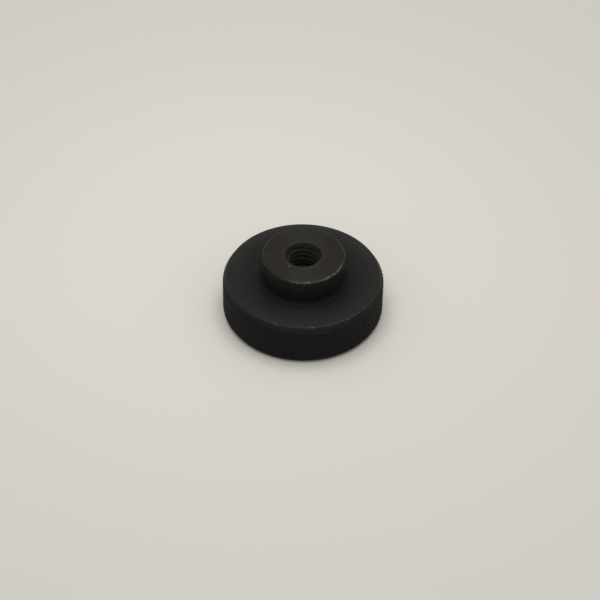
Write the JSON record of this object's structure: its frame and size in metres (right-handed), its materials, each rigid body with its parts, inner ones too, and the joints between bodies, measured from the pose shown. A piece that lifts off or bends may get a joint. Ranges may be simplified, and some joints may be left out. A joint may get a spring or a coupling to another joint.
{
  "type": "lock knob",
  "caption": "Round lock knob turned in one piece: a disc with a diamond-knurled rim and a smaller plain boss, tapped through the centre.",
  "frame": {"origin": "centre of the base face, on the axis of the tapped hole", "axes": "+Z along the tapped hole, from the base face of the knurled disc towards the boss; +X and +Y are any two square directions"},
  "size_m": [0.036, 0.036, 0.016],
  "materials": {
    "blackened_steel": "black oxide, satin, with thin edges worn a little brighter"
  },
  "bodies": {
    "root": {"lock_knob": "blackened_steel"}
  },
  "joints": []
}
